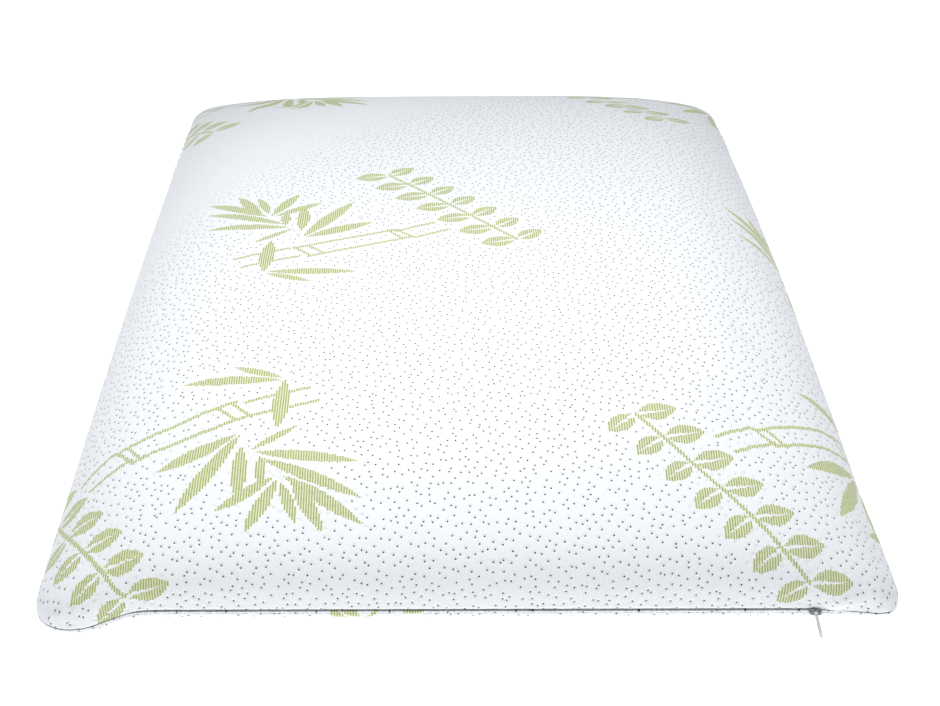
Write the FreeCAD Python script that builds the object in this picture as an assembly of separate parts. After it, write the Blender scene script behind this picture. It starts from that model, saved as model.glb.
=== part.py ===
"""Bed pillow: a moulded memory-foam core in a sewn inner liner, inside a removable zipped knit cover.

Frame: millimetres, +Z up, X across the width, Y along the length. The zipped end faces -Y.
The origin is the middle of the underside, so the pillow lies on the plane z = 0.
"""

import FreeCAD
import Part
import math
import os

V = FreeCAD.Vector

# Driving dimensions -------------------------------------------------------------------------
WIDTH = 500.0            # over the cover, seam to seam
LENGTH = 700.0
THICKNESS = 103.0        # at the middle of the crown
CROWN_RADIUS = 8000.0    # the top is part of a very large sphere
CORNER_RADIUS = 38.0     # of the outline
TOP_ROUND = 36.0         # rounding from the sides up to the top
BOTTOM_ROUND = 16.0      # rounding from the sides down to the underside
SEAM_HEIGHT = 27.0       # the two cover panels meet here all the way round

COVER_THICKNESS = 1.6    # double-layer jacquard knit
LINER_THICKNESS = 0.6    # thin tricot
LAYER_GAP = 0.4          # free play between one layer and the next
ZIP_POCKET = 9.0         # the liner and core stop this far short of the cover's zipped face

ZIP_LEFT = -190.0        # the two ends of the zip's opening
ZIP_RIGHT = 206.0
SLIT_HALF = 0.7          # half the gap between the cover's two folded lips
TAPE_GAP = 0.2           # between cover and tape
TAPE_THICKNESS = 0.6
TAPE_WIDTH = 10.0
TAPE_EDGE = 0.9          # from the zip's centre line to the tape's edge
TAPE_OVERRUN = 6.0       # how far the tapes run past the opening at each end
COIL_THICKNESS = 2.2
COIL_TIP = 0.45          # from the centre line to the tips of the teeth
COIL_ROOT = 1.5          # from the centre line to the bottom of the gaps between the teeth
COIL_BACK = 2.6          # from the centre line to the coil's outer edge
COIL_PITCH = 2.0
COIL_SHORT = 0.4         # the coils stop this far short of the opening's ends
STOP_LENGTH = 2.6
STOP_HALF_WIDTH = 2.8

SLIDER_AT = 201.0        # the slider's middle when the zip is closed
SLIDER_LENGTH = 9.0
SLIDER_PLATE = 0.9
SLIDER_HALF_WIDTH = 3.9
RAIL_WIDTH = 1.0
SLIDER_CLEARANCE = 0.3
WEB_HALF = 0.2           # the web that joins the slider's inner and outer plates
WEB_LENGTH = 5.0
CAP_LENGTH = 7.4
CAP_HALF_WIDTH = 1.7
CAP_THICKNESS = 0.7
CAP_STAND_OFF = 0.5      # between the cover's face and the slider's outer plate
BRIDGE_RADIUS = 0.5      # of the wire-like bar that the pull hangs on
BRIDGE_RISE = 2.5        # from the outer plate to the bar's centre
BRIDGE_SPAN = 5.6        # between the middles of the bar's two posts

PULL_LENGTH = 18.0       # from the bar to the tip
PULL_HALF_WIDTH = 2.1
PULL_THICKNESS = 1.8
PULL_EYE_RADIUS = 1.15
PULL_HEAD_RADIUS = 1.9
PULL_TIP_RADIUS = 1.0
PULL_LEAN = 17.0         # degrees; the loose pull hangs a little askew

THREAD = 0.4             # thickness of a sewn thread
STITCH_LENGTH = 4.2
STITCH_PITCH = 6.4
TAPE_STITCH_AT = 8.5     # from the zip's centre line to the row that sews a tape to the cover
OVERLOCK_HALF = 1.9      # the zigzag reaches this far above and below the seam
OVERLOCK_PITCH = 6.0

# Derived places -------------------------------------------------------------------------------
FRONT = -LENGTH / 2
COVER_INNER = FRONT + COVER_THICKNESS
TAPE_OUTER = COVER_INNER + TAPE_GAP
TAPE_INNER = TAPE_OUTER + TAPE_THICKNESS
COIL_INNER = TAPE_INNER + COIL_THICKNESS
LINER_INSET = COVER_THICKNESS + LAYER_GAP + THREAD + LAYER_GAP
CORE_INSET = LINER_INSET + LINER_THICKNESS + LAYER_GAP + THREAD + LAYER_GAP
BAR_Y = FRONT - CAP_STAND_OFF - CAP_THICKNESS - BRIDGE_RISE


def box(x0, x1, y0, y1, z0, z1):
    """A box given by its lowest and highest corners."""
    return Part.makeBox(x1 - x0, y1 - y0, z1 - z0, V(x0, y0, z0))


def cushion(inset, front_inset):
    """The pillow's form, taken in by an even distance, and by its own distance at the zipped end."""
    x = WIDTH / 2 - inset
    block = box(-x, x, FRONT + front_inset, LENGTH / 2 - inset, inset, THICKNESS - inset)
    upright = [e for e in block.Edges if abs(e.tangentAt(e.FirstParameter).z) > 0.9]
    block = block.makeFillet(CORNER_RADIUS - inset, upright)
    low = [e for e in block.Edges if e.BoundBox.ZMax < inset + 0.01]
    block = block.makeFillet(BOTTOM_ROUND - inset, low)
    high = [e for e in block.Edges if e.BoundBox.ZMin > THICKNESS - inset - 0.01]
    block = block.makeFillet(TOP_ROUND - inset, high)
    # The sphere's poles lie level, so that no pole comes to the top of the crown.
    crown = Part.makeSphere(CROWN_RADIUS - inset, V(0, 0, 0), V(1, 0, 0))
    crown.translate(V(0, 0, THICKNESS - CROWN_RADIUS))
    return block.common(crown)


def shell(outer, inner):
    """The layer between two cushions."""
    return outer.cut(inner)


def above(shape):
    """The part of a shape over the seam."""
    return shape.common(box(-WIDTH, WIDTH, -LENGTH, LENGTH, SEAM_HEIGHT, 2 * THICKNESS))


def below(shape):
    """The part of a shape under the seam."""
    return shape.common(box(-WIDTH, WIDTH, -LENGTH, LENGTH, -THICKNESS, SEAM_HEIGHT))


def polygon_plate(points, depth):
    """A closed outline of points, raised along depth into a plate."""
    wire = Part.makePolygon([V(*p) for p in points] + [V(*points[0])])
    return Part.Face(wire).extrude(depth)


def coil(side):
    """One half of the zip: a strip with a tooth for each turn. side is 1 above the centre line, -1 below."""
    left, right = ZIP_LEFT + COIL_SHORT, ZIP_RIGHT - COIL_SHORT
    z = lambda reach: SEAM_HEIGHT + side * reach
    points = [(right, TAPE_INNER, z(COIL_BACK)), (left, TAPE_INNER, z(COIL_BACK))]
    for i in range(int((right - left) / COIL_PITCH)):
        start = left + i * COIL_PITCH
        points += [(start, TAPE_INNER, z(COIL_ROOT)), (start + 0.15 * COIL_PITCH, TAPE_INNER, z(COIL_TIP)),
                   (start + 0.55 * COIL_PITCH, TAPE_INNER, z(COIL_TIP)),
                   (start + 0.7 * COIL_PITCH, TAPE_INNER, z(COIL_ROOT))]
    points.append((right, TAPE_INNER, z(COIL_ROOT)))
    return polygon_plate(points, V(0, COIL_THICKNESS, 0))


def tape(side):
    """The woven tape that one coil is sewn to."""
    z = sorted(SEAM_HEIGHT + side * reach for reach in (TAPE_EDGE, TAPE_EDGE + TAPE_WIDTH))
    return box(ZIP_LEFT - TAPE_OVERRUN, ZIP_RIGHT + TAPE_OVERRUN, TAPE_OUTER, TAPE_INNER, z[0], z[1])


def tape_stitches(side):
    """The row of stitches that holds a tape, one solid each, lying on the tape's inner face."""
    count = int((ZIP_RIGHT - ZIP_LEFT) / STITCH_PITCH)
    z = SEAM_HEIGHT + side * TAPE_STITCH_AT
    row = []
    for i in range(count):
        middle = (ZIP_LEFT + ZIP_RIGHT) / 2 + (i - (count - 1) / 2) * STITCH_PITCH
        row.append(box(middle - STITCH_LENGTH / 2, middle + STITCH_LENGTH / 2,
                       TAPE_INNER, TAPE_INNER + THREAD, z - THREAD, z + THREAD))
    return Part.makeCompound(row)


def end_stop(start):
    """A small pressed stop across both coils, from start towards +X."""
    return box(start, start + STOP_LENGTH, TAPE_INNER, COIL_INNER,
               SEAM_HEIGHT - STOP_HALF_WIDTH, SEAM_HEIGHT + STOP_HALF_WIDTH)


def overlock(start, end, outward):
    """The zigzag thread that joins two panels along one side, flat against their inner faces.

    start and end lie on the inner face at seam height, and outward points at that face.
    """
    run = end - start
    turns = int(run.Length / OVERLOCK_PITCH)
    step = run / turns
    width = V(0, 0, THREAD)
    upper, lower = [], []
    for i in range(turns + 1):
        rise = V(0, 0, OVERLOCK_HALF if i % 2 else -OVERLOCK_HALF)
        corner = start + step * i + rise
        upper.append(corner + width)
        lower.append(corner - width)
    outline = upper + lower[::-1]
    wire = Part.makePolygon(outline + [outline[0]])
    return Part.Face(wire).extrude(outward * -THREAD)


def side_threads(inset, front_inset, prefix):
    """The zigzag threads of one sewn case, along each straight side at the seam."""
    x = WIDTH / 2 - inset
    y = LENGTH / 2 - inset
    front = FRONT + front_inset
    reach = CORNER_RADIUS
    threads = {
        prefix + "_seam_thread_left": (V(-x, front + reach, 0), V(-x, y - reach, 0), V(-1, 0, 0)),
        prefix + "_seam_thread_right": (V(x, front + reach, 0), V(x, y - reach, 0), V(1, 0, 0)),
        prefix + "_seam_thread_back": (V(-x + reach, y, 0), V(x - reach, y, 0), V(0, 1, 0)),
    }
    lift = V(0, 0, SEAM_HEIGHT)
    return {name: overlock(a + lift, b + lift, out) for name, (a, b, out) in threads.items()}


def slider():
    """The slider: an inner plate with two rails round the coils, a web through the slit, and outside
    it a small plate with the bar for the pull."""
    x0, x1 = SLIDER_AT - SLIDER_LENGTH / 2, SLIDER_AT + SLIDER_LENGTH / 2
    face = COIL_INNER + SLIDER_CLEARANCE
    z0, z1 = SEAM_HEIGHT - SLIDER_HALF_WIDTH, SEAM_HEIGHT + SLIDER_HALF_WIDTH
    body = box(x0, x1, face, face + SLIDER_PLATE, z0, z1)
    rail_start = TAPE_INNER + SLIDER_CLEARANCE
    body = body.fuse(box(x0, x1, rail_start, face, z0, z0 + RAIL_WIDTH))
    body = body.fuse(box(x0, x1, rail_start, face, z1 - RAIL_WIDTH, z1))
    corners = [e for e in body.Edges if abs(e.tangentAt(e.FirstParameter).y) > 0.9
               and (e.BoundBox.ZMin > z1 - 0.01 or e.BoundBox.ZMax < z0 + 0.01)]
    body = body.makeFillet(0.8, corners)
    cap_inner = FRONT - CAP_STAND_OFF
    cap_outer = cap_inner - CAP_THICKNESS
    web = box(SLIDER_AT - WEB_LENGTH / 2, SLIDER_AT + WEB_LENGTH / 2, cap_inner - 0.1, face + 0.1,
              SEAM_HEIGHT - WEB_HALF, SEAM_HEIGHT + WEB_HALF)
    cap = box(SLIDER_AT - CAP_LENGTH / 2, SLIDER_AT + CAP_LENGTH / 2, cap_outer, cap_inner,
              SEAM_HEIGHT - CAP_HALF_WIDTH, SEAM_HEIGHT + CAP_HALF_WIDTH)
    ends = [e for e in cap.Edges if abs(e.tangentAt(e.FirstParameter).y) > 0.9]
    cap = cap.makeFillet(CAP_HALF_WIDTH - 0.3, ends)
    return body.fuse([web, cap, bridge(cap_outer)]).removeSplitter()


def bridge(cap_outer):
    """The round bar over the slider's outer plate, bent down to it at both ends."""
    r = BRIDGE_RADIUS
    bend = 1.1
    half = BRIDGE_SPAN / 2
    low = cap_outer + 0.2
    turn = bend * (1 - math.sqrt(0.5))
    z = SEAM_HEIGHT
    left, right = SLIDER_AT - half, SLIDER_AT + half
    path = [
        Part.LineSegment(V(left, low, z), V(left, BAR_Y + bend, z)),
        Part.Arc(V(left, BAR_Y + bend, z), V(left + turn, BAR_Y + turn, z), V(left + bend, BAR_Y, z)),
        Part.LineSegment(V(left + bend, BAR_Y, z), V(right - bend, BAR_Y, z)),
        Part.Arc(V(right - bend, BAR_Y, z), V(right - turn, BAR_Y + turn, z), V(right, BAR_Y + bend, z)),
        Part.LineSegment(V(right, BAR_Y + bend, z), V(right, low, z)),
    ]
    spine = Part.Wire([piece.toShape() for piece in path])
    section = Part.Wire([Part.Circle(V(left, low, z), V(0, 1, 0), r).toShape()])
    return spine.makePipeShell([section], True, False)


def pull():
    """The flat pull: a round head with an eye on the bar, a waist, and a rounded blade that hangs down."""
    t = PULL_THICKNESS
    waist, waist_z = 1.0, -1.2
    belly_z = -0.7 * PULL_LENGTH
    tip_z = PULL_TIP_RADIUS - PULL_LENGTH
    side = []
    for y in (-1, 1):
        side.append([V(-t / 2, y * waist, waist_z), V(-t / 2, y * PULL_HALF_WIDTH, belly_z),
                     V(-t / 2, y * PULL_TIP_RADIUS, tip_z)])
    outline = [
        Part.LineSegment(side[0][0], side[0][1]),
        Part.LineSegment(side[0][1], side[0][2]),
        Part.Arc(side[0][2], V(-t / 2, 0, -PULL_LENGTH), side[1][2]),
        Part.LineSegment(side[1][2], side[1][1]),
        Part.LineSegment(side[1][1], side[1][0]),
        Part.LineSegment(side[1][0], side[0][0]),
    ]
    blade = Part.Face(Part.Wire([piece.toShape() for piece in outline])).extrude(V(t, 0, 0))
    bellies = [e for e in blade.Edges if abs(e.tangentAt(e.FirstParameter).x) > 0.9
               and abs(e.BoundBox.ZMin - belly_z) < 0.01]
    blade = blade.makeFillet(5.0, bellies)
    head = Part.makeCylinder(PULL_HEAD_RADIUS, t, V(-t / 2, 0, 0), V(1, 0, 0))
    eye = Part.makeCylinder(PULL_EYE_RADIUS, 3 * t, V(-1.5 * t, 0, 0), V(1, 0, 0))
    whole = head.fuse(blade).removeSplitter().cut(eye)
    whole.rotate(V(0, 0, 0), V(0, 1, 0), -PULL_LEAN)
    whole.translate(V(SLIDER_AT, BAR_Y, SEAM_HEIGHT))
    return whole


def build():
    """Every piece of the pillow, by name."""
    outside = cushion(0.0, 0.0)
    cover = shell(outside, cushion(COVER_THICKNESS, COVER_THICKNESS))
    slit = box(ZIP_LEFT, ZIP_RIGHT, FRONT - 1, COVER_INNER + 1,
               SEAM_HEIGHT - SLIT_HALF, SEAM_HEIGHT + SLIT_HALF)
    cover = cover.cut(slit)
    liner_outside = cushion(LINER_INSET, ZIP_POCKET)
    liner_inside = cushion(LINER_INSET + LINER_THICKNESS, ZIP_POCKET + LINER_THICKNESS)
    liner = shell(liner_outside, liner_inside)
    core_front = ZIP_POCKET + CORE_INSET - LINER_INSET
    pieces = {
        "foam_core": cushion(CORE_INSET, core_front),
        "liner_top": above(liner),
        "liner_bottom": below(liner),
        "cover_top_panel": above(cover),
        "cover_bottom_panel": below(cover),
        "zipper_tape_upper": tape(1),
        "zipper_tape_lower": tape(-1),
        "tape_stitching_upper": tape_stitches(1),
        "tape_stitching_lower": tape_stitches(-1),
        "zipper_coil_upper": coil(1),
        "zipper_coil_lower": coil(-1),
        "zipper_top_stop": end_stop(ZIP_RIGHT),
        "zipper_bottom_stop": end_stop(ZIP_LEFT - STOP_LENGTH),
        "zipper_slider": slider(),
        "zipper_pull": pull(),
    }
    pieces.update(side_threads(COVER_THICKNESS, 0.0, "cover"))
    pieces.update(side_threads(LINER_INSET + LINER_THICKNESS, ZIP_POCKET, "liner"))
    return pieces


os.makedirs("parts", exist_ok=True)
for name, shape in build().items():
    print(name, "solids", len(shape.Solids), "valid", shape.isValid(), "cm3", round(shape.Volume / 1000, 3))
    shape.exportStep(os.path.join("parts", name + ".step"))
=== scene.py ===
import math

import bmesh
import bpy
import numpy as np
from mathutils import Matrix, Vector
from mathutils.kdtree import KDTree


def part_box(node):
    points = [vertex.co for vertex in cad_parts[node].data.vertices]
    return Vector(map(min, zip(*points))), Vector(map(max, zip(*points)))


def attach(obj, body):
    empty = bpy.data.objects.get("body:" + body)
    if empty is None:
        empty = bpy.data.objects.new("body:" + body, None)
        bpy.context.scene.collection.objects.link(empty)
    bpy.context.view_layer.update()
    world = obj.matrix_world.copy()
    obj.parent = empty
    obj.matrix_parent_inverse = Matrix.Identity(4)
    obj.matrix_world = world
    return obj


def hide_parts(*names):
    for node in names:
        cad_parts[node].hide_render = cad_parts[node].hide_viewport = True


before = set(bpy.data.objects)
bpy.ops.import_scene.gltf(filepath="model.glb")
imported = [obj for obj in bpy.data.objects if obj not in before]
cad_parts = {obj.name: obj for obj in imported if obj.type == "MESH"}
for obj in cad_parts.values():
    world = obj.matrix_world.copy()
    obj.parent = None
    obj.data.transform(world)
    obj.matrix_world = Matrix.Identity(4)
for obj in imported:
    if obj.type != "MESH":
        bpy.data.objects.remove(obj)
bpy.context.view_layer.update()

# Foam core ------------------------------------------------------------------------------------
# One block of slow-recovery foam, poured in a shallow mould and cut flat underneath. Its form is
# the pillow's form, so the shape that every layer follows is worked out here.
mm = 0.001
half_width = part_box("cover_top_panel")[1].x
half_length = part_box("cover_top_panel")[1].y
crown_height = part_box("cover_top_panel")[1].z
seam_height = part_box("cover_bottom_panel")[1].z
rise = crown_height - seam_height
back_corner, left_corner, right_corner = 18 * mm, 24 * mm, 15 * mm
station_spacing = 8 * mm
rim_stations = np.array([0, 1.0, 2.4, 4.6, 8.0, 13.0]) * mm
zip_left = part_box("zipper_coil_upper")[0].x
zip_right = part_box("zipper_coil_upper")[1].x


def shoulder(place, power, sharpness):
    """1 over the middle, falling to 0 at both edges, where place runs from -1 to 1."""
    return (1 - np.abs(place) ** power) ** sharpness


def stations(half, power, sharpness):
    """Places from edge to edge, spaced evenly along the crown's curve and closer at the rim."""
    fine = half * np.sin(np.linspace(-0.5, 0.5, 8001) * np.pi)
    height = rise * shoulder(fine / half, power, sharpness)
    travel = np.concatenate([[0], np.cumsum(np.hypot(np.diff(fine), np.diff(height)))])
    middle = travel[-1] - 2 * rim_stations[-1]
    count = round(middle / station_spacing)
    inner = rim_stations[-1] + np.linspace(0, 1, count + 1)[1:-1] * middle
    wanted = np.concatenate([rim_stations, inner, travel[-1] - rim_stations[::-1]])
    return np.interp(wanted, travel, fine)


def ease(value, start, end):
    """0 at start, 1 at end, and smooth between."""
    t = np.clip((value - start) / (end - start), 0, 1)
    return t * t * (3 - 2 * t)


across = stations(half_width, 7, 0.50)
along = stations(half_length, 5.5, 0.20)


def underside(edge_distance):
    """How much of the drop to the rest surface is reached at a distance in from the seam."""
    lip = 5 * mm
    slope = np.sin(np.pi / 2 * np.clip(edge_distance / (62 * mm), 0, 1))
    return (lip * (1 - np.exp(-edge_distance / (0.4 * mm))) + (seam_height - lip) * slope) / seam_height


def panel_points(side, inset, front_inset):
    """The places of one panel's stations. side is 1 for the upper panel and -1 for the lower one."""
    x, y = np.meshgrid(across, along, indexing="ij")
    u, v = x / half_width, y / half_length
    if side > 0:
        lean = 1 + 0.049 * u - 0.119 * v - 0.034 * u * u - 0.395 * v * v
        z = (rise - inset) * shoulder(u, 7, 0.50) * shoulder(v, 5.5, 0.20) * lean
    else:
        z = -(seam_height - inset) * underside(half_width - abs(x)) * underside(half_length - abs(y))
    # The corners are rounded as a square is drawn in to a disc. The slider's corner is the sharpest.
    radius = np.where(y > 0, back_corner, np.where(x < 0, left_corner, right_corner))
    a = np.clip((abs(x) - half_width + radius) / radius, 0, 1)
    b = np.clip((abs(y) - half_length + radius) / radius, 0, 1)
    x = np.sign(x) * (abs(x) - radius * a * (1 - np.sqrt(1 - b * b / 2)))
    y = np.sign(y) * (abs(y) - radius * b * (1 - np.sqrt(1 - a * a / 2)))
    # Filling draws the sides in between the corners; the front ones are left standing out.
    side_pull = np.where(x < 0, 3.2 + 1.6 * v, 3.4 + 1.8 * v)
    side_pull = side_pull - np.where(x < 0, 3.4, 4.2) * ease(-v, 0.72, 1)
    x = x - np.sign(x) * mm * side_pull * ease(abs(u), 0.8, 1)
    y = y - 2.5 * mm * (1 - u * u) * ease(v, 0.9, 1)
    # The slack corner beyond the zip's open end droops and stands out; the other one hardly does.
    droop = ease(-x, -zip_left - 2 * mm, 226 * mm) * ease(-y, 250 * mm, half_length)
    jut = ease(x, zip_right, half_width) * ease(-y, 300 * mm, half_length)
    slack_out, slack_down = 8 * mm, 7 * mm
    tight_out, tight_down = 2.5 * mm, 1.5 * mm
    y = y - slack_out * droop - tight_out * jut
    z = z + seam_height - slack_down * droop - tight_down * jut
    x = x * (half_width - inset) / half_width
    y = y * np.where(y < 0, half_length - front_inset, half_length - inset) / half_length
    return np.stack([x, y, z], axis=-1)


def flat_cloth(points):
    """Each station's place on the flat cloth: its travel over the form from the panel's middle."""
    steps_x = np.linalg.norm(np.diff(points, axis=0), axis=2)
    steps_y = np.linalg.norm(np.diff(points, axis=1), axis=2)
    u = np.concatenate([np.zeros((1, points.shape[1])), np.cumsum(steps_x, axis=0)])
    v = np.concatenate([np.zeros((points.shape[0], 1)), np.cumsum(steps_y, axis=1)], axis=1)
    middle = (points.shape[0] // 2, points.shape[1] // 2)
    return np.stack([u - u[middle[0]][None, :], v - v[:, middle[1]][:, None]], axis=-1)


def panel_mesh(bm, points, side, cut_from=(0, 0)):
    """Adds one panel to bm as a grid of stations, with its place on the flat cloth as the UV map."""
    nx, ny = points.shape[0] - 1, points.shape[1] - 1
    cloth = bm.loops.layers.uv.new("UVMap")
    made = bmesh.ops.create_grid(bm, x_segments=nx, y_segments=ny, size=1)["verts"]
    flat = flat_cloth(points) + np.array(cut_from)
    place = {}
    for vert in made:
        i, j = round((vert.co.x + 1) / 2 * nx), round((vert.co.y + 1) / 2 * ny)
        place[vert] = (i, j)
        vert.co = points[i, j]
    faces = {face for vert in made for face in vert.link_faces}
    for face in faces:
        face.smooth = True
        for loop in face.loops:
            loop[cloth].uv = flat[place[loop.vert]]
    if side < 0:
        bmesh.ops.reverse_faces(bm, faces=list(faces))
    return place


def new_piece(name, bm, body):
    """Makes a piece of a finished bmesh, riding on a body of the frame."""
    mesh = bpy.data.meshes.new(name)
    bm.to_mesh(mesh)
    bm.free()
    piece = bpy.data.objects.new(name, mesh)
    bpy.context.scene.collection.objects.link(piece)
    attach(piece, body)
    return piece


def closed_form(name, inset, front_inset):
    """A whole solid of the pillow's form."""
    bm = bmesh.new()
    panel_mesh(bm, panel_points(1, inset, front_inset), 1)
    panel_mesh(bm, panel_points(-1, inset, front_inset), -1)
    bmesh.ops.remove_doubles(bm, verts=bm.verts, dist=0.02 * mm)
    return new_piece(name, bm, "pillow")


def material(name, colour, roughness):
    """A new Principled material: the material, its tree and its shader."""
    made = bpy.data.materials.new(name)
    made.use_nodes = True
    shader = made.node_tree.nodes["Principled BSDF"]
    shader.inputs["Base Color"].default_value = (*colour, 1)
    shader.inputs["Roughness"].default_value = roughness
    return made, made.node_tree, shader


def node(tree, kind, settings=None, **sockets):
    """Adds a node. Named settings are its own; sockets are values or outputs for its inputs."""
    made = tree.nodes.new(kind)
    for key, value in (settings or {}).items():
        setattr(made, key, value)
    for key, value in sockets.items():
        socket = made.inputs[int(key[2:]) if key.startswith("in") else key.replace("_", " ")]
        if isinstance(value, bpy.types.NodeSocket):
            tree.links.new(value, socket)
        else:
            socket.default_value = value
    return made


def calc(tree, operation, *values):
    """One step of arithmetic, on numbers and outputs."""
    sockets = {f"in{i}": value for i, value in enumerate(values)}
    return node(tree, "ShaderNodeMath", {"operation": operation}, **sockets).outputs[0]


def object_place(tree):
    """The place on the object, in metres."""
    return node(tree, "ShaderNodeTexCoord").outputs["Object"]


def relief(tree, height, distance, strength=1.0):
    """A normal that follows a height."""
    return node(tree, "ShaderNodeBump", Strength=strength, Distance=distance, Height=height).outputs[0]


def set_material(piece, *made):
    piece.data.materials.clear()
    for one in made:
        piece.data.materials.append(one)


foam, foam_tree, foam_shader = material("memory_foam", (0.86, 0.80, 0.60), 0.9)
foam_place = object_place(foam_tree)
cells = node(foam_tree, "ShaderNodeTexVoronoi", {"feature": "F1"}, Vector=foam_place, Scale=900.0)
mould_marks = node(foam_tree, "ShaderNodeTexNoise", None, Vector=foam_place, Scale=24.0, Detail=4.0)
foam_colour = node(foam_tree, "ShaderNodeMix", {"data_type": "RGBA"}, in0=mould_marks.outputs[0],
                   in6=(0.88, 0.83, 0.64, 1), in7=(0.80, 0.72, 0.50, 1))
foam_tree.links.new(foam_colour.outputs[2], foam_shader.inputs["Base Color"])
foam_tree.links.new(relief(foam_tree, cells.outputs["Distance"], 0.4 * mm), foam_shader.inputs["Normal"])

core = closed_form("memory_foam_core", 7 * mm, 14 * mm)
set_material(core, foam)
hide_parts("foam_core")

# Inner liner ----------------------------------------------------------------------------------
# A thin white tricot bag, sewn shut round the core from an upper and a lower panel. It keeps the
# foam clean and lets the cover slide over it.
liner_thickness = 0.6 * mm
liner_inset, liner_front_inset = 5 * mm, 11 * mm


def woven(tree, pitch, colour, shade):
    """A plain close weave on Object coordinates: its colour, and its height."""
    turned = node(tree, "ShaderNodeMapping", None, Vector=object_place(tree), Scale=(1 / pitch,) * 3)
    checks = node(tree, "ShaderNodeTexWave", {"wave_type": "BANDS", "bands_direction": "DIAGONAL"},
                  Vector=turned.outputs[0], Scale=0.35, Distortion=1.5)
    blend = node(tree, "ShaderNodeMix", {"data_type": "RGBA"}, in0=checks.outputs[1],
                 in6=(*shade, 1), in7=(*colour, 1))
    return blend.outputs[2], checks.outputs[1]


tricot, tricot_tree, tricot_shader = material("liner_tricot", (0.82, 0.83, 0.82), 0.85)
tricot_colour, tricot_height = woven(tricot_tree, 0.5 * mm, (0.86, 0.87, 0.86), (0.74, 0.75, 0.76))
tricot_tree.links.new(tricot_colour, tricot_shader.inputs["Base Color"])
tricot_tree.links.new(relief(tricot_tree, tricot_height, 0.15 * mm), tricot_shader.inputs["Normal"])

for side, node_name in ((1, "liner_top"), (-1, "liner_bottom")):
    bm = bmesh.new()
    panel_mesh(bm, panel_points(side, liner_inset, liner_front_inset), side)
    liner = new_piece("tricot_" + node_name, bm, "pillow")
    thicken = liner.modifiers.new("cloth thickness", "SOLIDIFY")
    thicken.thickness, thicken.offset = liner_thickness, -1
    set_material(liner, tricot)
    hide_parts(node_name)

# Cover panels ---------------------------------------------------------------------------------
# Two panels of thick double knit, joined at mid-side all the way round. Jacquard needles pull small
# dark dimples through the face and knit green sprigs and garlands into it, rib by rib.
cover_thickness = 1.4 * mm
seam_groove = 0.45 * mm
lip_gap = 0.7 * mm


def cover_points(side):
    """The cover's stations, with its rim turned in at the seam and parted along the zip."""
    points = panel_points(side, 0, 0)
    x = points[..., 0]
    tuck = np.zeros(x.shape)
    tuck[[0, -1], :] = seam_groove
    tuck[:, [0, -1]] = seam_groove
    tuck[1:-1, [1, -2]] = np.maximum(tuck[1:-1, [1, -2]], 0.3 * seam_groove)
    tuck[[1, -2], 1:-1] = np.maximum(tuck[[1, -2], 1:-1], 0.3 * seam_groove)
    parted = ease(x, zip_left - 3 * mm, zip_left + 2 * mm)
    parted = parted * (1 - ease(x, zip_right - 2 * mm, zip_right + 3 * mm))
    front = np.zeros(x.shape)
    front[:, 0] = 1
    front[:, 1] = 0.6
    open_tuck = 0.5 * mm if side > 0 else 1.1 * mm
    tuck = np.where((front > 0) & (parted > 0), tuck + (open_tuck * front - tuck) * parted, tuck)
    points[..., 0] *= 1 - tuck / half_width
    points[..., 1] *= 1 - tuck / half_length
    points[:, 0, 2] += side * lip_gap * parted[:, 0]
    points[:, 1, 2] += side * 0.5 * lip_gap * parted[:, 1]
    return points


def cover_crease(points):
    """Soft folds that the sewn-shut corner beside the slider pushes up in the upper panel."""
    x, y, z = points[..., 0], points[..., 1], points[..., 2]
    for turn, depth, reach, width in ((62, 3.4, 52, 5), (30, 2.6, 46, 4.5), (90, 1.8, 34, 5)):
        c, s = math.cos(math.radians(turn)), math.sin(math.radians(turn))
        # On the steep front wall the fold climbs, so height counts as travel away from the rim.
        away = (y + half_length) + (z - seam_height)
        on = (x - zip_right) * c + away * s
        off = (x - zip_right) * s - away * c
        fold = np.exp(-(off / (width * mm)) ** 2) * ease(on, 0, 9 * mm)
        fold = fold * (1 - ease(on, 10 * mm, reach * mm))
        points[..., 1] -= depth * mm * fold * (1 - ease(z, 0.6 * crown_height, crown_height))
        points[..., 2] += 0.5 * depth * mm * fold * ease(z, 0.5 * crown_height, crown_height)
    # The overlock gathers the cloth a little, in uneven puckers that fade up the walls.
    fade = np.exp(-(z - seam_height) / (16 * mm)) * ease(z - seam_height, 0, 4 * mm)
    for axis, other in ((1, x), (0, y)):
        wander = other / (17 * mm) * 2 * np.pi + 2.3 * np.sin(other / (43 * mm))
        wander = wander + 1.1 * np.sin(other / (19 * mm))
        half = half_length if axis == 1 else half_width
        near_edge = ease(abs(points[..., axis]), half - 30 * mm, half - 6 * mm)
        points[..., axis] -= np.sign(points[..., axis]) * 0.7 * mm * fade * near_edge * np.sin(wander)
    return points


top_points = cover_crease(cover_points(1))
bottom_points = cover_points(-1)
bm = bmesh.new()
panel_mesh(bm, top_points, 1)
cover_top = new_piece("knit_cover_top", bm, "pillow")
bm = bmesh.new()
panel_mesh(bm, bottom_points, -1, cut_from=(-150 * mm, 0))
cover_bottom = new_piece("knit_cover_bottom", bm, "pillow")
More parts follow.
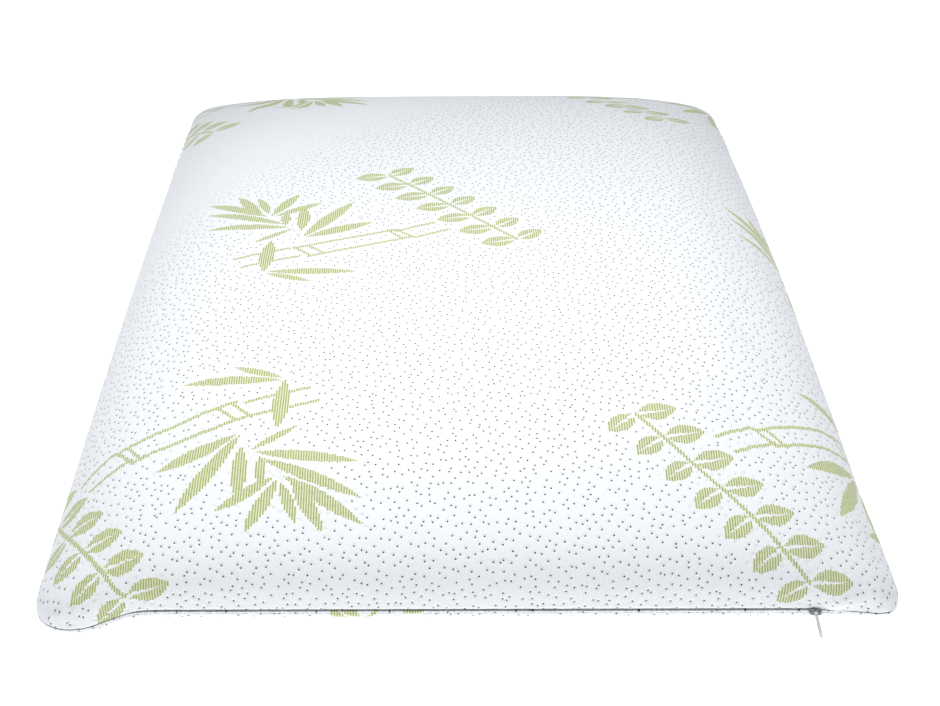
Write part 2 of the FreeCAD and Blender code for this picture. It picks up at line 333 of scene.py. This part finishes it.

# Painted shade: along the zip, near-black specks are laid on the lip rows, mostly under the lower lip,
# where the slit's shadow falls; in part they are the dark dimple yarn floating loose at the cut edges.
top_shade_rows, bottom_shade_rows = (0.7, 0, 0), (1, 1, 0.95, 0.5)
for panel, points, strands in ((cover_top, top_points, top_shade_rows),
                               (cover_bottom, bottom_points, bottom_shade_rows)):
    slit_specks = panel.data.attributes.new("slit_shade_specks", "FLOAT", "POINT")
    x = points[..., 0]
    amount = np.zeros(x.shape)
    for row, share in enumerate(strands):
        amount[:, row] = share * (x[:, row] > zip_left - 1 * mm) * (x[:, row] < zip_right + 1 * mm)
    speck_share_at = {tuple(np.round(at, 6)): value
               for at, value in zip(points.reshape(-1, 3), amount.reshape(-1))}
    for item, vert in zip(slit_specks.data, panel.data.vertices):
        item.value = speck_share_at.get(tuple(np.round(np.array(vert.co), 6)), 0)


def fill_out(upper, lower, pressure, cap):
    """Blows the sewn case up as cloth held at the seam, and hands its travel on to the two panels."""
    voxel, held_reach, frames = 6 * mm, 9 * mm, 20
    # On the sewn panels' own grid the solver moves nothing, so the case gets an even mesh first.
    bm = bmesh.new()
    bm.from_mesh(upper.data)
    bm.from_mesh(lower.data)
    rim = [vert.co.copy() for vert in bm.verts if vert.is_boundary]
    bmesh.ops.remove_doubles(bm, verts=[v for v in bm.verts if v.is_boundary], dist=0.02 * mm)
    # The zip's slit is closed for the time of the simulation, so that the case holds its pressure.
    bmesh.ops.contextual_create(bm, geom=[edge for edge in bm.edges if edge.is_boundary])
    bmesh.ops.triangulate(bm, faces=[face for face in bm.faces if len(face.verts) > 4])
    bmesh.ops.recalc_face_normals(bm, faces=bm.faces)
    sewn = new_piece("sewn_case", bm, "pillow")
    even = sewn.modifiers.new("even mesh", "REMESH")
    even.mode, even.voxel_size = "VOXEL", voxel
    graph = bpy.context.evaluated_depsgraph_get()
    case = bpy.data.objects.new("case", bpy.data.meshes.new_from_object(sewn.evaluated_get(graph)))
    bpy.context.scene.collection.objects.link(case)
    bpy.data.objects.remove(sewn)
    seam = KDTree(len(rim))
    for i, place in enumerate(rim):
        seam.insert(place, i)
    seam.balance()
    held = case.vertex_groups.new(name="held")
    near_seam = [v.index for v in case.data.vertices if seam.find(v.co)[2] < held_reach]
    held.add(near_seam, 1.0, "REPLACE")
    cloth = case.modifiers.new("cloth", "CLOTH")
    cloth.settings.mass = 0.3
    cloth.settings.tension_stiffness = cloth.settings.compression_stiffness = 15
    cloth.settings.shear_stiffness = 5
    cloth.settings.bending_stiffness = 0.5
    cloth.settings.vertex_group_mass = "held"
    cloth.settings.use_pressure = True
    cloth.settings.uniform_pressure_force = pressure
    cloth.settings.effector_weights.gravity = 0
    cloth.collision_settings.use_collision = False
    for step in range(1, frames + 1):
        bpy.context.scene.frame_set(step)
    settled = case.evaluated_get(bpy.context.evaluated_depsgraph_get()).data
    travels = np.array([b.co - a.co for a, b in zip(case.data.vertices, settled.vertices)])
    near = KDTree(len(travels))
    for i, vert in enumerate(case.data.vertices):
        near.insert(vert.co, i)
    near.balance()
    for panel in (upper, lower):
        for vert in panel.data.vertices:
            found = near.find_n(vert.co, 12)
            share = np.array([1 / (distance + 2 * mm) for _, _, distance in found])
            travel = share @ travels[[i for _, i, _ in found]] / share.sum()
            travel = travel * float(ease(seam.find(vert.co)[2], 4 * mm, 30 * mm))
            length = float(np.linalg.norm(travel))
            if length > 0:
                vert.co += Vector(travel * (cap * math.tanh(length / cap) / length))
                vert.co.z = max(vert.co.z, 0)
    bpy.context.scene.frame_set(1)
    bpy.data.objects.remove(case)


fill_out(cover_top, cover_bottom, pressure=1.5, cap=3 * mm)

for panel in (cover_top, cover_bottom):
    thicken = panel.modifiers.new("cloth thickness", "SOLIDIFY")
    thicken.thickness, thicken.offset = cover_thickness, -1
    soften = panel.modifiers.new("soften", "SUBSURF")
    soften.levels = soften.render_levels = 1


def group(name, inputs, outputs):
    """A new node group with number or vector inputs and outputs."""
    made = bpy.data.node_groups.new(name, "ShaderNodeTree")
    for label, kind in inputs:
        made.interface.new_socket(name=label, in_out="INPUT", socket_type=kind)
    for label, kind in outputs:
        made.interface.new_socket(name=label, in_out="OUTPUT", socket_type=kind)
    return made, made.nodes.new("NodeGroupInput"), made.nodes.new("NodeGroupOutput")


number, vector, colour = "NodeSocketFloat", "NodeSocketVector", "NodeSocketColor"


def shape_group(name):
    """A new group for one shape of the drawing, with a place split along and across that shape."""
    tree, given, result = group(name, [("Place", vector), ("Base", vector), ("Turn", number),
                                ("Length", number), ("Half Width", number), ("Open Rib", number)],
                                [("Inside", number)])
    off = node(tree, "ShaderNodeVectorMath", {"operation": "SUBTRACT"}, in0=given.outputs["Place"],
               in1=given.outputs["Base"]).outputs[0]
    turned = node(tree, "ShaderNodeVectorRotate", {"rotation_type": "Z_AXIS", "invert": True}, Vector=off,
                  Angle=given.outputs["Turn"]).outputs[0]
    return tree, given, result, node(tree, "ShaderNodeSeparateXYZ", None, in0=turned)


def leaf_group():
    """How far a place lies inside one leaf, in metres; below 0 outside it, and in its open rib."""
    tree, given, result, split = shape_group("leaf")
    share = calc(tree, "DIVIDE", split.outputs[0], given.outputs["Length"])
    inner = node(tree, "ShaderNodeClamp", None, Value=share).outputs[0]
    belly = calc(tree, "MULTIPLY", calc(tree, "MULTIPLY", inner, calc(tree, "SUBTRACT", 1.0, inner)), 4.0)
    edge = calc(tree, "MULTIPLY", belly, given.outputs["Half Width"])
    past = calc(tree, "MULTIPLY", calc(tree, "ABSOLUTE", calc(tree, "SUBTRACT", share, inner)),
                given.outputs["Length"])
    aside = calc(tree, "ABSOLUTE", split.outputs[1])
    inside = calc(tree, "SUBTRACT", calc(tree, "SUBTRACT", edge, aside), past)
    rib = calc(tree, "SUBTRACT", given.outputs["Open Rib"], calc(tree, "MULTIPLY", share, 0.0016))
    inside = calc(tree, "MINIMUM", inside, calc(tree, "SUBTRACT", aside, rib))
    tree.links.new(inside, result.inputs[0])
    return tree


def stalk_group():
    """How far a place lies inside one straight line of even width, in metres; below 0 outside it."""
    tree, given, result, split = shape_group("stalk line")
    on_line = node(tree, "ShaderNodeClamp", None, Value=split.outputs[0], Max=given.outputs["Length"])
    past = calc(tree, "SUBTRACT", split.outputs[0], on_line.outputs[0])
    away = calc(tree, "SQRT", calc(tree, "ADD", calc(tree, "MULTIPLY", past, past),
                calc(tree, "MULTIPLY", split.outputs[1], split.outputs[1])))
    tree.links.new(calc(tree, "SUBTRACT", given.outputs["Half Width"], away), result.inputs[0])
    return tree


slender_leaf, stalk_line = leaf_group(), stalk_group()


def add_shape(tree, whole, kind, place, base, turn, length, half, rib=-20):
    """Joins one leaf or line to the drawing; base, length and width in millimetres, turn in degrees."""
    base_point = (base[0] * mm, base[1] * mm, 0)
    made = node(tree, "ShaderNodeGroup", {"node_tree": kind}, Place=place, Base=base_point,
                Turn=math.radians(turn), Length=length * mm)
    made.inputs["Half Width"].default_value = half * mm
    made.inputs["Open Rib"].default_value = rib * mm
    return made.outputs[0] if whole is None else calc(tree, "MAXIMUM", whole, made.outputs[0])


def sprig_group():
    """The sprig: a hollow jointed stalk with fans of slender leaves, and a garland of plump leaves."""
    tree, given, result = group("sprig and garland", [("Place", vector)], [("Inside", number)])
    place = given.outputs[0]
    whole = None
    # The two lines of the stalk, in three joints, each a little out of line with the last.
    for base, turn, length in (((-91, -2), 27, 27), ((-81, -13), 25, 30), ((-64, 9), 19.5, 77),
                               ((-54, -3), 19, 77), ((15, 34), 16.5, 41), ((22, 22), 16, 40)):
        whole = add_shape(tree, whole, stalk_line, place, base, turn, length, 1.45)
    # Two crossing strokes close each joint.
    for base, turn, length in (((-66, 10), 315, 19), ((-58, 11), 310, 17), ((6, 34), 315, 19),
                               ((-3, 31), 316, 17)):
        whole = add_shape(tree, whole, stalk_line, place, base, turn, length, 1.3)
    # The fans: the upper joint's three leaves, the middle joint's five and the large lower spray.
    for base, turn, length, width in (
            ((38, 54), 177, 66, 4.2), ((38, 56), 158, 36, 3.2), ((39, 55), 266, 47, 5.6),
            ((12, 6), 204, 54, 5.2), ((14, 6), 237, 68, 5.4), ((15, -4), 268, 40, 5.0),
            ((20, -9), 35, 36, 2.6), ((27, -13), 270, 23, 3.6),
            ((22, -10), 351, 65, 4.2), ((26, -15), 333, 70, 4.2),
            ((40, -29), 324, 60, 4.4), ((45, -31), 298, 43, 4.6), ((39, -33), 289, 32, 3.6),
            ((38, -31), 242, 41, 4.6), ((36, -29), 212, 42, 3.8)):
        whole = add_shape(tree, whole, slender_leaf, place, base, turn, length, width)
    # The garland runs down to the right in pairs of plump leaves, each with an open middle rib.
    leaf_pairs = 7
    for step in range(leaf_pairs):
        middle = (-139 + 15.0 * step, 15 - 19.0 * step)
        for turn, length, width in ((12, 27, 7.6), (218, 24, 7.0)):
            whole = add_shape(tree, whole, slender_leaf, place, middle, turn, length, width, rib=1.3)
        if step < leaf_pairs - 1:
            whole = add_shape(tree, whole, stalk_line, place, middle, -51.7, 24, 1.5)
    tree.links.new(whole, result.inputs[0])
    return tree


def knit_group():
    """The patterned knit over its flat cloth: the sprigs' mask, the ribs, the dimples and a height."""
    tree, given, result = group("jacquard knit", [("Cloth", vector), ("Slit Shade Specks", number)],
                                [("Colour", colour), ("Height", number)])
    cloth = given.outputs[0]
    split = node(tree, "ShaderNodeSeparateXYZ", None, in0=cloth)
    u, v = split.outputs[0], split.outputs[1]
    repeat = (392.4 * mm, 588.9 * mm)
    # The ribs run along the cloth. Each one starts and stops on its own, which frays the edges.
    rib_pitch, fray = 1.55 * mm, 1.1 * mm
    rib_place = calc(tree, "DIVIDE", u, rib_pitch)
    rib_number = calc(tree, "FLOOR", rib_place)
    rib_phase = calc(tree, "FRACT", rib_place)
    stray = node(tree, "ShaderNodeTexWhiteNoise", {"noise_dimensions": "1D"}, W=rib_number).outputs[0]
    v_frayed = calc(tree, "ADD", v, calc(tree, "MULTIPLY", calc(tree, "SUBTRACT", stray, 0.5), fray))
    off_rib = calc(tree, "MULTIPLY", calc(tree, "SUBTRACT", rib_phase, 0.5), -rib_pitch)
    u_stepped = calc(tree, "ADD", u, off_rib)
    # Rows of the drawing stand upright and upside down in turn.
    lean_u, lean_v = -16.6 * mm / repeat[1], 4.1 * mm / repeat[0]
    level_u = calc(tree, "SUBTRACT", u_stepped, calc(tree, "MULTIPLY", v, lean_u))
    level_v = calc(tree, "SUBTRACT", v_frayed, calc(tree, "MULTIPLY", u, lean_v))
    rows = []
    for centre_u, centre_v, sign in ((-150, -268, 1), (-100.3, -31.4, -1)):
        parts = []
        for level, centre, period in ((level_u, centre_u * mm - centre_v * mm * lean_u, repeat[0]),
                                      (level_v, centre_v * mm - centre_u * mm * lean_v, repeat[1])):
            wrapped = calc(tree, "WRAP", calc(tree, "SUBTRACT", level, centre), period / 2, -period / 2)
            parts.append(calc(tree, "MULTIPLY", wrapped, float(sign)))
        rows.append(parts)
    in_row = calc(tree, "ABSOLUTE", calc(tree, "ADD", rows[0][1], 10 * mm))
    band = calc(tree, "LESS_THAN", in_row, 142 * mm)
    chosen = [node(tree, "ShaderNodeMix", {"data_type": "FLOAT"}, in0=band, in2=rows[1][i],
                   in3=rows[0][i]).outputs[0] for i in (0, 1)]
    place = node(tree, "ShaderNodeCombineXYZ", None, in0=chosen[0], in1=chosen[1]).outputs[0]
    inside = node(tree, "ShaderNodeGroup", {"node_tree": sprig_group()}, Place=place).outputs[0]
    motif = calc(tree, "GREATER_THAN", inside, 0.15 * mm)
    # The dimples stand in slanting rows, a little unevenly, and stay clear of the drawing.
    dimple_pitch = 5.6 * mm
    rows_turned = node(tree, "ShaderNodeMapping", None, Vector=cloth, Rotation=(0, 0, math.radians(33)),
                       Scale=(1 / dimple_pitch, 1 / dimple_pitch, 1)).outputs[0]
    nearest = node(tree, "ShaderNodeTexVoronoi", {"voronoi_dimensions": "2D", "feature": "F1"},
                   Vector=rows_turned, Scale=1.0, Randomness=0.68)
    clear = calc(tree, "LESS_THAN", inside, -3.2 * mm)
    # Painted highlight: the dimples and their pits fade out toward the back left corner, where glare would
    # wash them out; the cloth itself has them all over.
    to_back_left = calc(tree, "ADD", calc(tree, "MULTIPLY", u, -0.77), calc(tree, "MULTIPLY", v, 0.64))
    glare_washout = node(tree, "ShaderNodeMapRange", {"interpolation_type": "SMOOTHSTEP"}, Value=to_back_left,
                 in1=130 * mm, in2=215 * mm, in3=1.0, in4=0.04).outputs[0]
    prick = calc(tree, "MULTIPLY", calc(tree, "LESS_THAN", nearest.outputs["Distance"], 0.095), clear)
    prick = calc(tree, "MULTIPLY", prick, glare_washout)
    pit = node(tree, "ShaderNodeMapRange", {"interpolation_type": "SMOOTHSTEP"},
               Value=nearest.outputs["Distance"], in1=0.0, in2=0.36, in3=-1.0, in4=0.0).outputs[0]
    # Green loops alternate with pale ones from rib to rib, and both vary slowly over the cloth.
    drift = node(tree, "ShaderNodeTexNoise", {"noise_dimensions": "2D"}, Vector=cloth, Scale=9.0,
                 Detail=2.0)
    green = node(tree, "ShaderNodeMix", {"data_type": "RGBA"}, in0=drift.outputs[0],
                 in6=(0.40, 0.45, 0.085, 1), in7=(0.36, 0.385, 0.20, 1)).outputs[2]
    loop = node(tree, "ShaderNodeMapRange", {"interpolation_type": "SMOOTHSTEP"},
                Value=calc(tree, "ABSOLUTE", calc(tree, "SUBTRACT", rib_phase, 0.5)),
                in1=0.16, in2=0.34, in3=0.0, in4=1.0).outputs[0]
    ribbed = node(tree, "ShaderNodeMix", {"data_type": "RGBA"}, in0=loop, in6=green,
                  in7=(0.74, 0.765, 0.54, 1))
    ground = node(tree, "ShaderNodeMix", {"data_type": "RGBA"}, in0=prick, in6=(0.87, 0.875, 0.885, 1),
                  in7=(0.035, 0.035, 0.045, 1)).outputs[2]
    # Painted shade along the zip: near-black specks where the slit's shadow falls, partly the dimple yarn
    # loose at the cut edges.
    speck_mask = node(tree, "ShaderNodeTexNoise", {"noise_dimensions": "2D"}, Vector=cloth, Scale=700.0,
                  Detail=1.0)
    speck_mask = calc(tree, "GREATER_THAN", calc(tree, "MULTIPLY", speck_mask.outputs[0], given.outputs[1]), 0.50)
    ground = node(tree, "ShaderNodeMix", {"data_type": "RGBA"}, in0=speck_mask, in6=ground,
                  in7=(0.03, 0.03, 0.035, 1)).outputs[2]
    face = node(tree, "ShaderNodeMix", {"data_type": "RGBA"}, in0=motif, in6=ground, in7=ribbed.outputs[2])
    tree.links.new(face.outputs[2], result.inputs[0])
    # Height: fine loops everywhere, a round rib over each needle's run, and a pit round every dimple.
    wale_pitch, course_pitch = 0.9 * mm, 0.7 * mm
    wales = node(tree, "ShaderNodeMapping", None, Vector=cloth,
                 Scale=(1 / wale_pitch, 1 / course_pitch, 1)).outputs[0]
    loops = node(tree, "ShaderNodeTexVoronoi", {"voronoi_dimensions": "2D", "feature": "SMOOTH_F1"},
                 Vector=wales, Scale=1.0, Randomness=0.3).outputs["Distance"]
    rib_wave = calc(tree, "SINE", calc(tree, "MULTIPLY", rib_place, 2 * math.pi))
    rib_height = calc(tree, "MULTIPLY", rib_wave, 0.06)
    height = calc(tree, "ADD", calc(tree, "ADD", calc(tree, "MULTIPLY", loops, -0.25), rib_height),
                  calc(tree, "MULTIPLY", pit, glare_washout))
    tree.links.new(height, result.inputs[1])
    return tree


knit, knit_tree, knit_shader = material("jacquard_knit", (0.87, 0.875, 0.885), 0.88)
flat = node(knit_tree, "ShaderNodeUVMap", {"uv_map": "UVMap"}).outputs[0]
jacquard = node(knit_tree, "ShaderNodeGroup", {"node_tree": knit_group()}, Cloth=flat)
slit_specks = node(knit_tree, "ShaderNodeAttribute", {"attribute_name": "slit_shade_specks"}).outputs["Fac"]
knit_tree.links.new(slit_specks, jacquard.inputs["Slit Shade Specks"])
knit_tree.links.new(jacquard.outputs["Colour"], knit_shader.inputs["Base Color"])
knit_tree.links.new(relief(knit_tree, jacquard.outputs["Height"], 0.45 * mm), knit_shader.inputs["Normal"])
knit_shader.inputs["Sheen Weight"].default_value = 0.12
knit_shader.inputs["Specular IOR Level"].default_value = 0.25

for panel, node_name in ((cover_top, "cover_top_panel"), (cover_bottom, "cover_bottom_panel")):
    set_material(panel, knit)
    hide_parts(node_name)

# Seam threads ---------------------------------------------------------------------------------
# Overlock stitching in white spun polyester. One row runs round the cover's seam and one round the
# liner's, on the left, right and back.
thread, thread_tree, thread_shader = material("spun_thread", (0.80, 0.81, 0.83), 0.7)
ply_pitch = 0.35 * mm
strands = node(thread_tree, "ShaderNodeMapping", None, Vector=object_place(thread_tree),
               Rotation=(0.5, 0.6, 0.4), Scale=(1 / ply_pitch,) * 3).outputs[0]
ply = node(thread_tree, "ShaderNodeTexWave", {"wave_type": "BANDS"}, Vector=strands, Scale=0.3,
           Distortion=0.6)
thread_colour = node(thread_tree, "ShaderNodeMix", {"data_type": "RGBA"}, in0=ply.outputs[1],
                     in6=(0.66, 0.67, 0.70, 1), in7=(0.86, 0.87, 0.89, 1)).outputs[2]
thread_tree.links.new(thread_colour, thread_shader.inputs["Base Color"])
thread_tree.links.new(relief(thread_tree, ply.outputs[1], 0.1 * mm), thread_shader.inputs["Normal"])
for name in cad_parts:
    if "seam_thread" in name or name == "tape_stitching_upper":
        set_material(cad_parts[name], thread)

# Zip tapes ------------------------------------------------------------------------------------
# Two woven tapes that carry the coils. The lower one turns in under the pillow with the panel that
# it is stitched to.
tape, tape_tree, tape_shader = material("woven_tape", (0.80, 0.80, 0.81), 0.8)
tape_colour, tape_height = woven(tape_tree, 0.6 * mm, (0.84, 0.84, 0.85), (0.66, 0.67, 0.70))
tape_tree.links.new(tape_colour, tape_shader.inputs["Base Color"])
tape_tree.links.new(relief(tape_tree, tape_height, 0.15 * mm), tape_shader.inputs["Normal"])
set_material(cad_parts["zipper_tape_upper"], tape)

tape_low, tape_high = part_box("zipper_tape_lower")
tape_plane = (tape_low.y + tape_high.y) / 2
tape_thickness = tape_high.y - tape_low.y


def below_tape(travel):
    """A place on the lower tape's middle: down behind the lip, then in above the lower panel."""
    drop, clearance = 3.4 * mm, 0.6 * mm
    if travel < drop:
        return tape_plane, tape_high.z - travel
    depth = travel - drop
    distance = half_length + tape_plane + depth
    panel_height = seam_height * (1 - underside(distance))
    return tape_plane + depth, panel_height + cover_thickness + clearance


bm = bmesh.new()
tape_run = [0, 1.2, 2.4, 3.4, 4.6, 6.0, 8.0, 10.0]
grid = bmesh.ops.create_grid(bm, x_segments=60, y_segments=len(tape_run) - 1, size=1)["verts"]
for vert in grid:
    along_tape = (vert.co.x + 1) / 2
    down, height = below_tape(tape_run[round((vert.co.y + 1) / 2 * (len(tape_run) - 1))] * mm)
    vert.co = Vector((tape_low.x + along_tape * (tape_high.x - tape_low.x), down, height))
for face in bm.faces:
    face.smooth = True
bmesh.ops.recalc_face_normals(bm, faces=bm.faces)
lower_tape = new_piece("woven_tape_lower", bm, "pillow")
thicken = lower_tape.modifiers.new("tape thickness", "SOLIDIFY")
thicken.thickness, thicken.offset = tape_thickness, 0
set_material(lower_tape, tape)
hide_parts("zipper_tape_lower")

# Lower tape stitching: a straight lockstitch through the lower tape, along its inner edge.
stitch_length = 3 * mm
stitch_thread = 0.25 * mm
stitch_low, stitch_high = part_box("tape_stitching_lower")
run = bpy.data.curves.new("lockstitch", "CURVE")
run.dimensions = "3D"
run.bevel_depth, run.bevel_resolution = stitch_thread, 2
run.use_fill_caps = True
count = round((stitch_high.x - stitch_low.x) / stitch_length)
spline = run.splines.new("POLY")
spline.points.add(4 * count - 1)
down, height = below_tape(8.0 * mm)
for i in range(count):
    x0 = stitch_low.x + i * stitch_length
    for k, (share, side) in enumerate(((0.08, -1), (0.15, 1), (0.85, 1), (0.92, -1))):
        level = height + side * 0.5 * tape_thickness
        spline.points[4 * i + k].co = (x0 + share * stitch_length, down, level, 1)
laid_run = bpy.data.objects.new("laid run", run)
stitching = bpy.data.objects.new("lockstitch_lower", bpy.data.meshes.new_from_object(laid_run))
bpy.data.objects.remove(laid_run)
bpy.context.scene.collection.objects.link(stitching)
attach(stitching, "pillow")
set_material(stitching, thread)
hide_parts("tape_stitching_lower")

# Zip coils and stops --------------------------------------------------------------------------
# Nylon monofilament wound into two coils that mesh behind the lips, with a moulded stop at each end.
coil_pitch = 2.0 * mm
nylon, nylon_tree, nylon_shader = material("nylon_coil", (0.30, 0.30, 0.32), 0.4)
# Painted shade: near-black bands between the grey turns stand for the shade in the gaps between them; the
# stops carry the same bands.
turns_and_gap_shade = node(nylon_tree, "ShaderNodeTexWave", {"wave_type": "BANDS", "bands_direction": "X"},
             Vector=object_place(nylon_tree), Scale=0.5 / coil_pitch, Distortion=0.3)
nylon_and_gap_shade_colour = node(nylon_tree, "ShaderNodeMix", {"data_type": "RGBA"}, in0=turns_and_gap_shade.outputs[1],
                    in6=(0.03, 0.03, 0.035, 1), in7=(0.30, 0.30, 0.32, 1)).outputs[2]
nylon_tree.links.new(nylon_and_gap_shade_colour, nylon_shader.inputs["Base Color"])
nylon_tree.links.new(relief(nylon_tree, turns_and_gap_shade.outputs[1], 0.2 * mm), nylon_shader.inputs["Normal"])
for name in ("zipper_coil_upper", "zipper_coil_lower", "zipper_top_stop", "zipper_bottom_stop"):
    set_material(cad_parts[name], nylon)

# Slider ---------------------------------------------------------------------------------------
# A small die-cast slider in grey enamel, threaded onto both coils before the stops are fitted. The
# pull hangs from the bridge on its front.
def enamel(name, colour, worn):
    """Smooth enamel on die-cast metal, a little darker where it is rubbed."""
    made, tree, shader = material(name, colour, 0.35)
    rubs = node(tree, "ShaderNodeTexNoise", None, Vector=object_place(tree), Scale=400.0, Detail=3.0)
    blend = node(tree, "ShaderNodeMix", {"data_type": "RGBA"}, in0=rubs.outputs[0],
                 in6=(*colour, 1), in7=(*worn, 1)).outputs[2]
    tree.links.new(blend, shader.inputs["Base Color"])
    tree.links.new(relief(tree, rubs.outputs[0], 0.05 * mm), shader.inputs["Normal"])
    shader.inputs["Coat Weight"].default_value = 0.3
    return made


slider_enamel = enamel("slider_enamel", (0.30, 0.31, 0.33), (0.18, 0.19, 0.20))
set_material(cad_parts["zipper_slider"], slider_enamel)

# Pull -----------------------------------------------------------------------------------------
# A slim stamped metal tongue in paler enamel. Its eye is closed round the slider's bridge, and it
# hangs from there loosely.
pull_enamel = enamel("pull_enamel", (0.58, 0.60, 0.63), (0.44, 0.46, 0.50))
set_material(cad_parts["zipper_pull"], pull_enamel)

# Stage ----------------------------------------------------------------------------------------
# A pale board just below the pillow, an even pale blue surround, and one soft light overhead.
bm = bmesh.new()
bmesh.ops.create_grid(bm, x_segments=4, y_segments=4, size=30)
floor_mesh = bpy.data.meshes.new("floor")
bm.to_mesh(floor_mesh)
bm.free()
floor = bpy.data.objects.new("floor", floor_mesh)
bpy.context.scene.collection.objects.link(floor)
floor.location.z = -0.5 * mm
board, board_tree, board_shader = material("pale_board", (0.93, 0.93, 0.93), 0.95)
board_shader.inputs["Emission Color"].default_value = (1, 1, 1, 1)
board_shader.inputs["Emission Strength"].default_value = 0.64
# The board shows only from above, so that the underside can be looked at.
seen_through = node(board_tree, "ShaderNodeBsdfTransparent")
behind = node(board_tree, "ShaderNodeNewGeometry").outputs["Backfacing"]
cut_away = node(board_tree, "ShaderNodeMixShader", None, in0=behind, in1=board_shader.outputs[0],
                in2=seen_through.outputs[0])
board_tree.links.new(cut_away.outputs[0], board_tree.nodes["Material Output"].inputs["Surface"])
set_material(floor, board)

world = bpy.data.worlds.new("studio")
bpy.context.scene.world = world
world.use_nodes = True
world.node_tree.nodes["Background"].inputs["Color"].default_value = (0.86, 0.93, 1.0, 1)
world.node_tree.nodes["Background"].inputs["Strength"].default_value = 0.45

lamp_place, lamp_target = Vector((-0.04, -0.20, 0.88)), Vector((-0.04, -0.12, 0))
lamp = bpy.data.lights.new("overhead", "AREA")
lamp.shape, lamp.size = "SQUARE", 0.5
lamp.energy, lamp.color = 6.0, (1.0, 1.0, 0.99)
overhead = bpy.data.objects.new("overhead", lamp)
bpy.context.scene.collection.objects.link(overhead)
overhead.location = lamp_place
overhead.rotation_mode = "QUATERNION"
overhead.rotation_quaternion = (lamp_target - lamp_place).to_track_quat("-Z", "Y")

camera_data = bpy.data.cameras.new("camera")
camera_data.lens = 61.3
camera = bpy.data.objects.new("camera", camera_data)
bpy.context.scene.collection.objects.link(camera)
tilt, swing, roll = math.radians(32.08), math.radians(1.551), math.radians(0.890)
ahead = Vector((math.sin(swing) * math.cos(tilt), math.cos(swing) * math.cos(tilt), -math.sin(tilt)))
level = Vector((math.cos(swing), -math.sin(swing), 0))
upward = level.cross(ahead)
right = level * math.cos(roll) + upward * math.sin(roll)
upward = upward * math.cos(roll) - level * math.sin(roll)
camera.matrix_world = Matrix.Translation((-20.3 * mm, -1052.6 * mm, 643.3 * mm)) @ Matrix(
    (right, upward, -ahead)).transposed().to_4x4()
bpy.context.scene.camera = camera
bpy.context.scene.view_settings.view_transform = "Standard"
